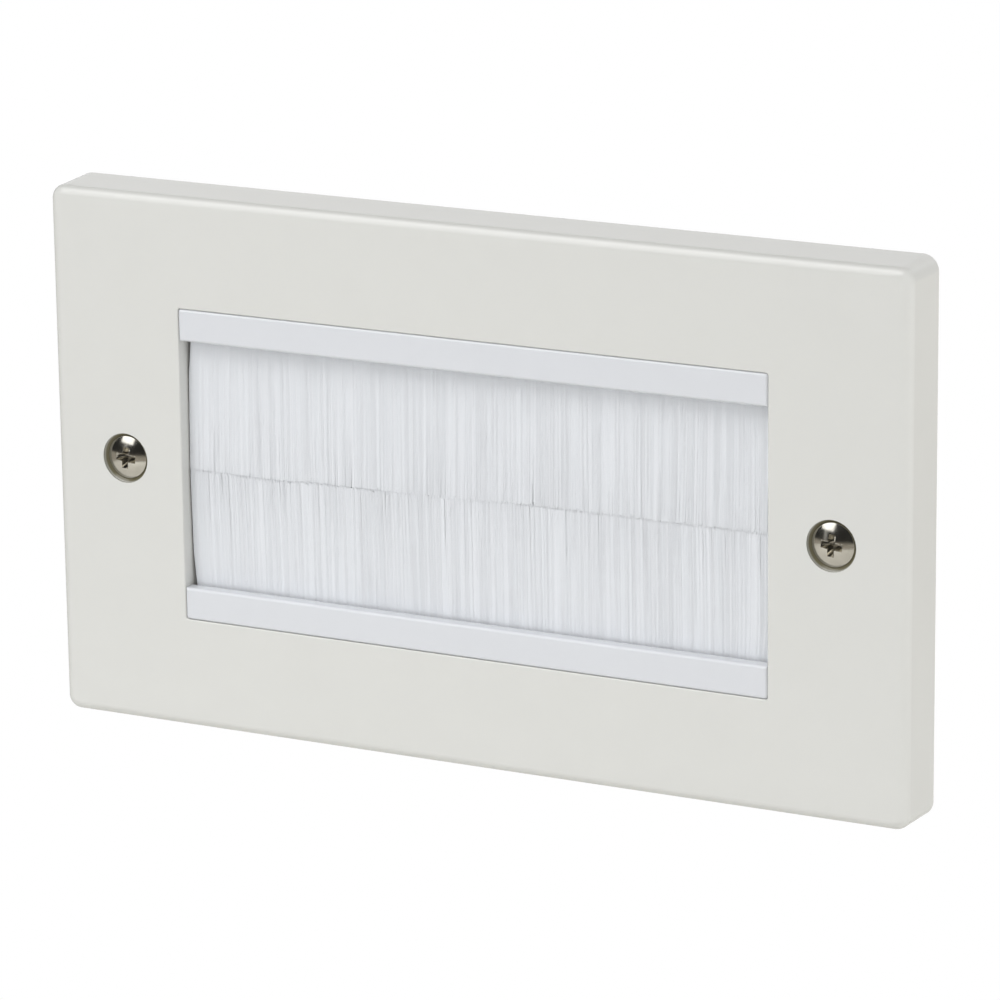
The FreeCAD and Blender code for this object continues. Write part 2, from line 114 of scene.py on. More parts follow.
def add_node(
    tree: bpy.types.NodeTree, kind: str, settings: dict | None = None, links: dict | None = None
) -> bpy.types.Node:
    """Add a node with its settings and links.

    Args:
        tree: The node tree that gets the node.
        kind: The node's type name.
        settings: Values by input name or number, or by the name of a setting of the node itself.
        links: Output sockets by the name or number of the input that they feed.

    Returns:
        The new node.
    """
    node = tree.nodes.new(kind)
    for name, value in (settings or {}).items():
        if isinstance(name, int) or name in node.inputs:
            node.inputs[name].default_value = value
        else:
            setattr(node, name, value)
    for name, source in (links or {}).items():
        tree.links.new(source, node.inputs[name])
    return node


def per_mm(size: float) -> float:
    """Give a texture scale whose features are about this many millimetres wide."""
    return 1 / (size * MM)


def select_only(piece: bpy.types.Object) -> None:
    """Select one piece, alone, and make it the active one.

    Args:
        piece: The piece that the next operators act on.
    """
    bpy.ops.object.select_all(action="DESELECT")
    piece.select_set(True)
    bpy.context.view_layer.objects.active = piece


def pick(kind: str, test: Callable[[Vector], bool]) -> None:
    """Select by place in the mesh that is in edit mode.

    Args:
        kind: "VERT", "EDGE" or "FACE".
        test: Takes the middle of an element, in millimetres, and says whether it is wanted.
    """
    bpy.ops.mesh.select_mode(type=kind)
    bpy.ops.mesh.select_all(action="DESELECT")
    mesh = bmesh.from_edit_mesh(bpy.context.edit_object.data)
    for element in {"VERT": mesh.verts, "EDGE": mesh.edges, "FACE": mesh.faces}[kind]:
        corners = [element] if kind == "VERT" else list(element.verts)
        middle = sum((corner.co for corner in corners), Vector()) / len(corners)
        element.select_set(test(middle / MM))
    mesh.select_flush_mode()
    bmesh.update_edit_mesh(bpy.context.edit_object.data)


def start_piece(name: str, primitive: Callable, **sizes: object) -> bpy.types.Object:
    """Add a primitive, alone selected and in edit mode.

    Args:
        name: The new object's name.
        primitive: The operator that adds it.
        **sizes: The operator's own settings, in metres.

    Returns:
        The new object.
    """
    bpy.ops.object.select_all(action="DESELECT")
    primitive(**sizes)
    piece = bpy.context.object
    piece.name = name
    piece.data.name = name
    bpy.ops.object.mode_set(mode="EDIT")
    bpy.ops.mesh.select_mode(type="VERT")
    return piece


def close_mesh() -> None:
    """Merge doubled points of the mesh in edit mode and turn its faces outwards."""
    bpy.ops.mesh.select_all(action="SELECT")
    bpy.ops.mesh.remove_doubles(threshold=MERGE * MM)
    bpy.ops.mesh.normals_make_consistent(inside=False)


def trace_profile(name: str, profile: list[tuple[float, float]]) -> bpy.types.Object:
    """Extrude a point from corner to corner of a profile beside the Z axis.

    Args:
        name: The new object's name.
        profile: Radius and height of each corner.

    Returns:
        The open line, in edit mode.
    """
    (radius, height), *others = profile
    piece = start_piece(name, bpy.ops.mesh.primitive_plane_add, size=MM)
    bpy.ops.mesh.merge(type="CENTER")
    bpy.ops.transform.translate(value=(radius * MM, 0, height * MM))
    for next_radius, next_height in others:
        step = ((next_radius - radius) * MM, 0, (next_height - height) * MM)
        bpy.ops.mesh.extrude_region_move(TRANSFORM_OT_translate={"value": step})
        radius, height = next_radius, next_height
    return piece


def turn_profile(name: str, profile: list[tuple[float, float]], steps: int) -> bpy.types.Object:
    """Turn a closed piece about the Z axis, as on a lathe.

    Args:
        name: The new object's name.
        profile: Radius and height of each corner, from one end of the axis to the other.
        steps: Facets round the axis.

    Returns:
        The turned piece, in object mode.
    """
    piece = trace_profile(name, profile)
    bpy.ops.mesh.select_all(action="SELECT")
    bpy.ops.mesh.spin(steps=steps, angle=math.tau, center=(0, 0, 0), axis=(0, 0, 1))
    close_mesh()
    bpy.ops.object.mode_set(mode="OBJECT")
    return piece


def apply_modifier(piece: bpy.types.Object, kind: str, **settings: object) -> None:
    """Add a modifier to a piece and apply it.

    Args:
        piece: The piece to change.
        kind: The modifier's type.
        **settings: The modifier's own settings.
    """
    select_only(piece)
    modifier = piece.modifiers.new(kind.lower(), kind)
    for name, value in settings.items():
        setattr(modifier, name, value)
    bpy.ops.object.modifier_apply(modifier=modifier.name)


# Finishes


@dataclass(frozen=True)
class Finish:
    """A surface of the plate, with the record's slot that it belongs to."""

    name: str
    slot: str

    def shader(self, tree: bpy.types.NodeTree) -> bpy.types.Node:
        """Build the finish's own nodes and give the shader that ends them."""
        raise NotImplementedError

    def material(self) -> bpy.types.Material:
        """Build the finish as a material.

        Returns:
            The material, made once and then shared.
        """
        found = bpy.data.materials.get(self.name)
        if found:
            return found
        material = bpy.data.materials.new(self.name)
        tree = empty_tree(material)
        surface = self.shader(tree)
        add_node(tree, "ShaderNodeOutputMaterial", links={"Surface": surface.outputs[0]})
        return material

    def dress(self, piece: bpy.types.Object) -> None:
        """Put the finish on a piece.

        Args:
            piece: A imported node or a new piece.
        """
        if not piece.material_slots:
            piece.data.materials.append(None)
        piece.material_slots[0].material = self.material()


@dataclass(frozen=True)
class MouldedPlastic(Finish):
    """Glossy moulding: faint flow mottle in its colour, and a mould texture that softens reflections."""

    colour: str
    mottle_colour: str
    ior: float
    roughness: float
    mottle_size: float = 7.0
    peel_size: float = 0.9
    peel_height: float = 0.004
    # least and most roughness, as shares of the usual one
    gloss_range: tuple[float, float] = (0.85, 1.15)

    def shader(self, tree: bpy.types.NodeTree) -> bpy.types.Node:
        """Build mottle, orange peel and gloss.

        Args:
            tree: The material's node tree.

        Returns:
            The plastic's shader node.
        """
        place = add_node(tree, "ShaderNodeTexCoord").outputs["Object"]
        mottle = add_node(
            tree, "ShaderNodeTexNoise", {"Scale": per_mm(self.mottle_size), "Detail": 5.0}, {"Vector": place}
        )
        tint = add_node(
            tree,
            "ShaderNodeMix",
            {"data_type": "RGBA", MIX_FIRST: linear(self.colour), MIX_SECOND: linear(self.mottle_colour)},
            {MIX_SHARE: mottle.outputs["Fac"]},
        )
        tint = self.shade(tree, place, tint)
        peel = add_node(
            tree, "ShaderNodeTexNoise", {"Scale": per_mm(self.peel_size), "Detail": 2.0}, {"Vector": place}
        )
        bump = add_node(
            tree,
            "ShaderNodeBump",
            {"Strength": 1.0, "Distance": self.peel_height * MM},
            {"Height": peel.outputs["Fac"]},
        )
        least, most = self.gloss_range
        sheen = add_node(
            tree,
            "ShaderNodeMapRange",
            {"To Min": self.roughness * least, "To Max": self.roughness * most},
            {"Value": mottle.outputs["Fac"]},
        )
        return add_node(
            tree,
            "ShaderNodeBsdfPrincipled",
            {"IOR": self.ior},
            {
                "Base Color": tint.outputs[MIX_RESULT],
                "Roughness": sheen.outputs[0],
                "Normal": bump.outputs[0],
            },
        )

    def shade(
        self, tree: bpy.types.NodeTree, place: bpy.types.NodeSocket, tint: bpy.types.Node
    ) -> bpy.types.Node:
        """Leave the colour as moulded."""
        return tint


@dataclass(frozen=True)
class SunkPlastic(MouldedPlastic):
    """Glossy moulding with shade painted into the colour of its two screw recesses."""

    # painted shade: an olive colour laid into the moulding down in the screw recesses, where shade falls
    recess_shade_colour: str = "#6f6a54"
    # distances from a screw's axis where the painted shade starts and where it is full
    painted_shade_start: float = 4.2
    painted_shade_full: float = 3.8
    # how far behind the plate's face the painted shade starts, and how far in it reaches from there
    face_clearance: float = 0.04
    painted_shade_depth: float = 2.92

    def shade(
        self, tree: bpy.types.NodeTree, place: bpy.types.NodeSocket, tint: bpy.types.Node
    ) -> bpy.types.Node:
        """Paint shade into the moulded colour down in the two screw recesses.

        Args:
            tree: The material's node tree.
            place: Object coordinates.
            tint: The node that gives the moulded colour.

        Returns:
            The node that gives the colour with the painted shade.
        """
        folded = add_node(tree, "ShaderNodeVectorMath", {"operation": "ABSOLUTE"}, {0: place})
        across = add_node(
            tree,
            "ShaderNodeVectorMath",
            {"operation": "MULTIPLY_ADD", 1: (1, 0, 1), 2: (-SCREW_REACH * MM, 0, 0)},
            {0: folded.outputs[0]},
        )
        radius = add_node(tree, "ShaderNodeVectorMath", {"operation": "LENGTH"}, {0: across.outputs[0]})
        closeness = add_node(
            tree,
            "ShaderNodeMapRange",
            {"From Min": self.painted_shade_start * MM, "From Max": self.painted_shade_full * MM},
            {"Value": radius.outputs["Value"]},
        )
        half_depth = self.painted_shade_depth / 2
        middle = PLATE_FACE + self.face_clearance + half_depth
        axes = add_node(tree, "ShaderNodeSeparateXYZ", links={0: place})
        sunk = add_node(
            tree,
            "ShaderNodeMath",
            {"operation": "COMPARE", 1: middle * MM, 2: half_depth * MM},
            {0: axes.outputs["Y"]},
        )
        # painted shade: how far the colour turns olive, full near the head and deep in the recess
        painted_shade_share = add_node(
            tree, "ShaderNodeMath", {"operation": "MULTIPLY"}, {0: closeness.outputs[0], 1: sunk.outputs[0]}
        )
        return add_node(
            tree,
            "ShaderNodeMix",
            {"data_type": "RGBA", MIX_SECOND: linear(self.recess_shade_colour)},
            {MIX_SHARE: painted_shade_share.outputs[0], MIX_FIRST: tint.outputs[MIX_RESULT]},
        )


@dataclass(frozen=True)
class NylonFilament(Finish):
    """Drawn nylon: a pack of it passes light from strand to strand, so it shades almost as one face."""

    colour: str
    shade_colour: str
    ior: float = 1.53
    roughness: float = 0.4
    # how much each strand's own roundness turns the way that the pack faces
    roundness: float = 0.12

    def shader(self, tree: bpy.types.NodeTree) -> bpy.types.Node:
        """Build the strand's tone and satin gloss.

        Args:
            tree: The material's node tree.

        Returns:
            The nylon's shader node.
        """
        tone = add_node(tree, "ShaderNodeAttribute", {"attribute_name": STRAND_TONE})
        tint = add_node(
            tree,
            "ShaderNodeMix",
            {"data_type": "RGBA", MIX_FIRST: linear(self.shade_colour), MIX_SECOND: linear(self.colour)},
            {MIX_SHARE: tone.outputs["Fac"]},
        )
        shape = add_node(tree, "ShaderNodeNewGeometry")
        pack = add_node(tree, "ShaderNodeAttribute", {"attribute_name": PACK_FACING})
        rounded = add_node(
            tree,
            "ShaderNodeVectorMath",
            {"operation": "MULTIPLY_ADD", 1: (self.roundness,) * 3},
            {0: shape.outputs["Normal"], 2: pack.outputs["Vector"]},
        )
        facing = add_node(tree, "ShaderNodeVectorMath", {"operation": "NORMALIZE"}, {0: rounded.outputs[0]})
        return add_node(
            tree,
            "ShaderNodeBsdfPrincipled",
            {"IOR": self.ior, "Roughness": self.roughness},
            {"Base Color": tint.outputs[MIX_RESULT], "Normal": facing.outputs[0]},
        )


@dataclass(frozen=True)
class NickelPlate(Finish):
    """Bright nickel on steel: warm mirror gloss, dulled in patches and by fine handling marks."""

    colour: str
    tarnish_colour: str
    roughness: float = 0.14
    patch_size: float = 1.6
    mark_size: float = 0.25
    mark_height: float = 0.0006
    # least and most roughness, as shares of the usual one
    gloss_range: tuple[float, float] = (0.6, 1.6)

    def shader(self, tree: bpy.types.NodeTree) -> bpy.types.Node:
        """Build the plate's patches, marks and mirror.

        Args:
            tree: The material's node tree.

        Returns:
            The metal's shader node.
        """
        place = add_node(tree, "ShaderNodeTexCoord").outputs["Object"]
        patch = add_node(
            tree, "ShaderNodeTexNoise", {"Scale": per_mm(self.patch_size), "Detail": 6.0}, {"Vector": place}
        )
        tint = add_node(
            tree,
            "ShaderNodeMix",
            {"data_type": "RGBA", MIX_FIRST: linear(self.colour), MIX_SECOND: linear(self.tarnish_colour)},
            {MIX_SHARE: patch.outputs["Fac"]},
        )
        least, most = self.gloss_range
        dullness = add_node(
            tree,
            "ShaderNodeMapRange",
            {"To Min": self.roughness * least, "To Max": self.roughness * most},
            {"Value": patch.outputs["Fac"]},
        )
        marks = add_node(
            tree, "ShaderNodeTexNoise", {"Scale": per_mm(self.mark_size), "Detail": 4.0}, {"Vector": place}
        )
        bump = add_node(
            tree,
            "ShaderNodeBump",
            {"Strength": 1.0, "Distance": self.mark_height * MM},
            {"Height": marks.outputs["Fac"]},
        )
        return add_node(
            tree,
            "ShaderNodeBsdfPrincipled",
            {"Metallic": 1.0},
            {
                "Base Color": tint.outputs[MIX_RESULT],
                "Roughness": dullness.outputs[0],
                "Normal": bump.outputs[0],
            },
        )


@dataclass(frozen=True)
class GalvanisedSteel(Finish):
    """Zinc-coated steel: grey, dull metal with the patchwork of zinc crystals."""

    colour: str
    crystal_colour: str
    roughness: float = 0.42
    crystal_size: float = 1.8
    # least and most roughness, as shares of the usual one
    gloss_range: tuple[float, float] = (0.8, 1.25)

    def shader(self, tree: bpy.types.NodeTree) -> bpy.types.Node:
        """Build the crystals and the dull metal.

        Args:
            tree: The material's node tree.

        Returns:
            The metal's shader node.
        """
        place = add_node(tree, "ShaderNodeTexCoord").outputs["Object"]
        crystal = add_node(
            tree, "ShaderNodeTexVoronoi", {"Scale": per_mm(self.crystal_size)}, {"Vector": place}
        )
        grey = add_node(tree, "ShaderNodeSeparateColor", links={"Color": crystal.outputs["Color"]})
        tint = add_node(
            tree,
            "ShaderNodeMix",
            {"data_type": "RGBA", MIX_FIRST: linear(self.colour), MIX_SECOND: linear(self.crystal_colour)},
            {MIX_SHARE: grey.outputs["Red"]},
        )
        least, most = self.gloss_range
        dullness = add_node(
            tree,
            "ShaderNodeMapRange",
            {"To Min": self.roughness * least, "To Max": self.roughness * most},
            {"Value": grey.outputs["Green"]},
        )
        return add_node(
            tree,
            "ShaderNodeBsdfPrincipled",
            {"Metallic": 1.0},
            {"Base Color": tint.outputs[MIX_RESULT], "Roughness": dullness.outputs[0]},
        )


# Urea formaldehyde, compression moulded: ivory, glossy, slightly uneven, with shade painted into the screw
# recesses
IVORY = SunkPlastic(
    "ivory_moulded_urea", "ivory_plastic", "#dededa", "#dbdbd7", ior=1.55, roughness=0.22
)
# Rigid vinyl: cooler and whiter than the plate, with the same moulded gloss
WHITE = MouldedPlastic(
    "white_moulded_vinyl", "white_plastic", "#dee0e4", "#dbdde1", ior=1.53, roughness=0.22
)
# Nylon monofilament: cool white strands that differ faintly in tone
NYLON = NylonFilament("white_nylon_filament", "nylon_filament", "#f6f8fc", "#f3f6fa")
# Bright nickel plate over steel: a warm, nearly clean mirror
NICKEL = NickelPlate("bright_nickel_plate", "nickel_plate", "#d8d5cc", "#c2bdb2")
# Hot-dip zinc on strip and wire: dull grey with crystals
ZINC = GalvanisedSteel("galvanised_steel", "galvanised_steel", "#a4a7aa", "#bcbfc2")


# Sub-assemblies


class Row(Enum):
    """The two facing strip brushes, by the side of the aperture that holds them."""

    UPPER = 1
    LOWER = -1

    @property
    def word(self) -> str:
        """Give the row's name as it stands in piece names."""
        return self.name.lower()


@dataclass
class Shell:
    """The plate and the bars clipped into it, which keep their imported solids."""

    plate_node: str = "faceplate"
    bar_nodes: tuple[str, ...] = ("upper_brush_bar", "lower_brush_bar")

    def dress(self) -> list[bpy.types.Object]:
        """Finish the plate and the bars.

        Returns:
            The dressed nodes.
        """
        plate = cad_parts[self.plate_node]
        IVORY.dress(plate)
        bars = [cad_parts[name] for name in self.bar_nodes]
        for bar in bars:
            WHITE.dress(bar)
        return [plate, *bars]


@dataclass
class FilamentRow:
    """The filaments of one strip brush, each folded in two over the core wire."""

    row: Row
    seed: int
    # places along the width where the tips part
    partings: tuple[float, ...]
    # how far strands draw to the middle of their clump at most, as a share of the way
    clump_pull: float
    folds: int = 2600

    # one strand is three-sided and flattened, and chance turns it about its length, in radians
    diameter: float = 0.22
    sides: int = 3
    flatness: float = 0.6
    twist: float = 0.15
    # where its rings lie, as shares of each leg's length, and round the core wire
    front_rings: tuple[float, ...] = (0.0, 0.07, 0.35, 0.62, 0.84, 1.0)
    back_rings: tuple[float, ...] = (0.0, 0.07, 0.55, 1.0)
    fold_angles: tuple[float, ...] = (45.0, 90.0, 135.0)

    # how far the pack spreads at the tips: in depth, and past each end of the strip
    flare: float = 0.36
    end_fan: float = 0.64
    fan_zone: float = 9.0
    # how far out each layer lies, as a share of the pack's half depth
    layers: tuple[float, ...] = (0.6, 0.975, 1.0)
    layer_jitter: float = 0.008

    # clumps of strands: their usual width, its range as shares, and how many times too many are made
    clump_pitch: float = 1.3
    clump_range: tuple[float, float] = (0.4, 1.7)
    clump_spare: int = 2
    # how clumps lean, as a share of the sway, and how far single strands stray
    clump_lean: float = 0.3
    stray: float = 0.03
    # how wide a parting is at the tips, and how far to each side strands make way for it
    parting_width: float = 0.14
    parting_reach: float = 0.9
    # the slow sway of the tips along the row
    lean: float = 0.12
    sway_reach: float = 50.0
    sway_knots: int = 14

    # how uneven the tips are, how far those behind reach past the seam, and their step in depth
    tip_scatter: float = 0.3
    tip_overlap: float = 0.45
    tip_step: float = 0.05
    # powers by which each bend grows along the free length
    fan_growth: float = 0.2
    flare_growth: float = 1.2
    lean_growth: float = 2.0
    tip_growth: float = 3.0

    # the seam's height along the plate's width
    seam_places: tuple[float, ...] = (-50.0, -35.0, -27.0, -6.0, 9.0, 50.0)
    seam_levels: tuple[float, ...] = (-1.05, -1.2, -0.8, -0.7, -0.3, -0.2)
    # left of the first place the lower tips lie in front, and right of the second the upper ones
    lead_places: tuple[float, float] = (-14.0, 6.0)

    half_length: float = field(init=False)
    middle: float = field(init=False)
    core: float = field(init=False)
    inner_radius: float = field(init=False)
    outer_radius: float = field(init=False)

    def __post_init__(self) -> None:
        """Read the row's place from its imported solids."""
        low, high = (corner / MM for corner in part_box(f"{self.row.word}_bristles"))
        wire_low, wire_high = (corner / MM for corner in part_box(f"{self.row.word}_core_wire"))
        self.half_length = high.x - self.diameter / 2
        self.middle = (low.y + high.y) / 2
        self.core = abs(wire_low.z + wire_high.z) / 2
        self.inner_radius = (wire_high.z - wire_low.z) / 2 + self.diameter
        self.outer_radius = max(abs(low.z), abs(high.z)) - self.core - self.diameter / 2

    def model_strand(self) -> tuple[np.ndarray, np.ndarray, list[tuple[int, ...]]]:
        """Model one straight filament, ring by ring.

        Returns:
            Each point's ring number, its two offsets across the strand, and the faces.
        """
        rings = len(self.front_rings) + len(self.fold_angles) + len(self.back_rings)
        strand = start_piece(
            "strand",
            bpy.ops.mesh.primitive_cylinder_add,
            vertices=self.sides,
            radius=self.diameter / 2 * MM,
            depth=(rings - 1) * MM,
        )
        pick("EDGE", lambda middle: abs(middle.z) < NEAR)
        bpy.ops.mesh.subdivide(number_cuts=rings - 2)
        bpy.ops.object.mode_set(mode="OBJECT")
        places = np.array([vertex.co for vertex in strand.data.vertices]) / MM
        faces = [tuple(face.vertices) for face in strand.data.polygons]
        bpy.data.objects.remove(strand)
        return np.rint(places[:, 2] + (rings - 1) / 2).astype(int), places[:, :2], faces

    def gather(self, draw: np.random.Generator, roots: np.ndarray) -> np.ndarray:
        """Draw neighbouring filaments together at their tips.

        Args:
            draw: Source of chance.
            roots: Where each filament crosses the wire, along X.

        Returns:
            How far each tip moves along X.
        """
        # more clumps than fill the length, so that chance never runs out of them
        number = int(self.clump_spare * 2 * self.half_length / self.clump_pitch)
        pitch = self.clump_pitch * draw.uniform(*self.clump_range, number)
        ends = -self.half_length + np.cumsum(pitch)
        clump = np.searchsorted(ends, roots)
        middle = (ends - pitch / 2)[clump]
        pull = (self.clump_pull * draw.uniform(0, 1, number) ** 2)[clump]
        lean = draw.normal(0, self.clump_lean * self.lean, number)[clump]
        return (middle - roots) * pull + lean + draw.normal(0, self.stray, len(roots))

    def part_aside(self, x: np.ndarray) -> np.ndarray:
        """Push tips aside where the face of the brush parts.

        Args:
            x: Where each tip would lie.

        Returns:
            How far each tip moves along X.
        """
        push = np.zeros(len(x))
        for place in self.partings:
            away = x - place
            near = np.clip(1 - np.abs(away) / self.parting_reach, 0, 1)
            push += np.sign(away) * self.parting_width / 2 * near
        return push

    def lay_leg(
        self, draw: np.random.Generator, roots: np.ndarray, radii: np.ndarray, face: int
    ) -> np.ndarray:
        """Lay the legs on one face of the brush, from the core wire to the tips.

        Args:
            draw: Source of chance.
            roots: Where each filament crosses the wire, along X.
            radii: How far from the wire's middle each filament lies.
            face: Minus 1 for the front of the brush and 1 for its back.

        Returns:
            Points of every leg, by filament, ring and axis.
        """
        rings = self.front_rings if face < 0 else self.back_rings
        along = np.array(rings)[None, :]
        free = np.clip((along - rings[1]) / (1 - rings[1]), 0, 1)
        layer = np.arange(self.folds) % len(self.layers)

        # filaments of a layer gather into clumps, all sway together, and the ends fan out
        x_shift = np.zeros(self.folds)
        for number in range(len(self.layers)):
            inside = layer == number
            x_shift[inside] = self.gather(draw, roots[inside])
        knots = np.linspace(-self.sway_reach, self.sway_reach, self.sway_knots)
        sway = np.interp(roots, knots, draw.normal(0, self.lean, self.sway_knots))
        to_end = np.clip((self.half_length - np.abs(roots)) / self.fan_zone, 0, 1)
        fan = self.end_fan * np.sign(roots) * (1 - to_end)
        x = roots[:, None] + x_shift[:, None] * free**self.lean_growth
        x = x + sway[:, None] * free**self.lean_growth
        x = x + fan[:, None] * free**self.fan_growth
        x = x + self.part_aside(x[:, -1])[:, None] * free**self.tip_growth
        x = np.clip(x, -self.half_length - self.end_fan, self.half_length + self.end_fan)

        # the outer layers lie side by side, and the inner one fills the pack behind them
        spread = self.outer_radius + self.flare
        share = np.array(self.layers)[layer] - self.layer_jitter * draw.uniform(0, 1, self.folds)
        depth = radii[:, None] + (spread * share - radii)[:, None] * free**self.flare_growth
        lead = np.interp(x[:, -1], self.lead_places, (-1.0, 1.0)) * self.row.value
        y = self.middle + face * depth - (self.tip_step * lead)[:, None] * free**self.tip_growth

        # tips end near the seam, and those that lie behind reach past it
        seam = np.interp(x[:, -1], self.seam_places, self.seam_levels)
        tips = seam - self.row.value * self.tip_overlap * (1 - lead) / 2
        tips = tips + self.row.value * np.abs(draw.normal(0, self.tip_scatter, self.folds))
        core = self.row.value * self.core
        z = core + (tips - core)[:, None] * along
        return np.stack([x, y, z], axis=2)

    def lay_folds(self, roots: np.ndarray, radii: np.ndarray) -> np.ndarray:
        """Lay the folds over the core wire, from front to back.

        Args:
            roots: Where each filament crosses the wire, along X.
            radii: The radius of each fold.

        Returns:
            Points of every fold, by filament, ring and axis.
        """
        angles = np.radians(self.fold_angles)[None, :]
        y = self.middle - radii[:, None] * np.cos(angles)
        z = self.row.value * (self.core + radii[:, None] * np.sin(angles))
        return np.stack([np.broadcast_to(roots[:, None], y.shape), y, z], axis=2)

    def lay_paths(self, draw: np.random.Generator) -> np.ndarray:
        """Lay every filament from its front tip, over the core wire, to its back tip.

        Args:
            draw: Source of chance.

        Returns:
            Points of every path, by filament, ring and axis.
        """
        numbers = np.arange(self.folds)
        steps = (numbers + draw.uniform(0, 1, self.folds)) / self.folds
        roots = self.half_length * (2 * steps - 1)
        level = np.array(self.layers)[numbers % len(self.layers)]
        radii = self.inner_radius + (self.outer_radius - self.inner_radius) * level
        front = self.lay_leg(draw, roots, radii, -1)
        back = self.lay_leg(draw, roots, radii, 1)
        return np.concatenate([front[:, ::-1], self.lay_folds(roots, radii), back], axis=1)

    def carry_section(
        self, draw: np.random.Generator, paths: np.ndarray, rings: np.ndarray, across: np.ndarray
    ) -> np.ndarray:
        """Carry the strand's cross-section along every path.

        Args:
            draw: Source of chance.
            paths: Points of every path, by filament, ring and axis.
            rings: The ring number of each point of the strand.
            across: The two offsets of each point across the strand.

        Returns:
            The strands' points, by filament, point and axis.
        """
        ahead = np.gradient(paths, axis=1)
        ahead /= np.linalg.norm(ahead, axis=2, keepdims=True)
        side = np.array([1.0, 0.0, 0.0]) - ahead * ahead[..., :1]
        side /= np.linalg.norm(side, axis=2, keepdims=True)
        over = np.cross(ahead, side)
        # one flat of each three-sided strand faces out of the pack
        outward = 0.0 if self.row is Row.UPPER else math.pi
        turn = (outward + draw.normal(0, self.twist, self.folds))[:, None]
        first = across[None, :, 0] * np.cos(turn) - across[None, :, 1] * np.sin(turn)
        second = across[None, :, 0] * np.sin(turn) + across[None, :, 1] * np.cos(turn)
        second = self.flatness * second
        return paths[:, rings] + first[..., None] * side[:, rings] + second[..., None] * over[:, rings]

    def face_pack(self) -> np.ndarray:
        """Give the way that the pack faces at each ring of a strand, from the front tip to the back tip.

        Returns:
            One direction for each ring.
        """
        turns = (0.0,) * len(self.front_rings) + self.fold_angles + (180.0,) * len(self.back_rings)
        angles = np.radians(turns)
        return np.stack([0 * angles, -np.cos(angles), self.row.value * np.sin(angles)], axis=1)

    def mark_strands(self, draw: np.random.Generator, mesh: bpy.types.Mesh, rings: np.ndarray) -> None:
        """Note each strand's tone, the way that the pack faces, and the edges of the cut ends.

        Args:
            draw: Source of chance.
            mesh: The mesh of all the strands, which is changed.
            rings: The ring number of each point of the strand.
        """
        tone = mesh.attributes.new(STRAND_TONE, "FLOAT", "POINT")
        tone.data.foreach_set("value", np.repeat(draw.uniform(0, 1, self.folds), len(rings)))
        facing = mesh.attributes.new(PACK_FACING, "FLOAT_VECTOR", "POINT")
        facing.data.foreach_set("vector", np.tile(self.face_pack()[rings], (self.folds, 1)).ravel())
        # the cut ends keep a sharp edge, so that they don't tilt the light along the strand
        corners = np.zeros(2 * len(mesh.edges), dtype=int)
        mesh.edges.foreach_get("vertices", corners)
        ring_pairs = np.tile(rings, self.folds)[corners.reshape(-1, 2)]
        cut = (ring_pairs == 0).all(axis=1) | (ring_pairs == rings.max()).all(axis=1)
        mesh.attributes.new("sharp_edge", "BOOLEAN", "EDGE").data.foreach_set("value", cut)

    def build(self) -> bpy.types.Object:
        """Model one filament and lay copies of it along the strip.

        Returns:
            All the filaments of the row as one piece.
        """
        rings, across, faces = self.model_strand()
        draw = np.random.default_rng(self.seed)
        paths = self.lay_paths(draw)
        points = self.carry_section(draw, paths, rings, across)
        polygons = []
        for offset in range(0, self.folds * len(rings), len(rings)):
            polygons += [tuple(offset + corner for corner in face) for face in faces]
        name = f"{self.row.word}_filaments"
        mesh = bpy.data.meshes.new(name)
        mesh.from_pydata((points.reshape(-1, 3) * MM).tolist(), [], polygons)
        self.mark_strands(draw, mesh, rings)
        piece = bpy.data.objects.new(name, mesh)
        bpy.context.scene.collection.objects.link(piece)
        select_only(piece)
        bpy.ops.object.mode_set(mode="EDIT")
        bpy.ops.mesh.select_all(action="SELECT")
        bpy.ops.mesh.normals_make_consistent(inside=False)
        bpy.ops.object.mode_set(mode="OBJECT")
        bpy.ops.object.shade_smooth(keep_sharp_edges=True)
        return piece


@dataclass
class StripBrush:
    """One strip brush: steel channel, core wire and filaments."""

    row: Row
    seed: int
    partings: tuple[float, ...]
    clump_pull: float

    def build(self) -> list[bpy.types.Object]:
        """Lay the filaments and dress the channel and the wire.

        Returns:
            The brush's pieces.
        """
        filaments = FilamentRow(self.row, self.seed, self.partings, self.clump_pull).build()
        NYLON.dress(filaments)
        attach(filaments, BODY)
        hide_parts(f"{self.row.word}_bristles")
        held = [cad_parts[f"{self.row.word}_{word}"] for word in ("strip_channel", "core_wire")]
        for node in held:
            ZINC.dress(node)
        return [filaments, *held]


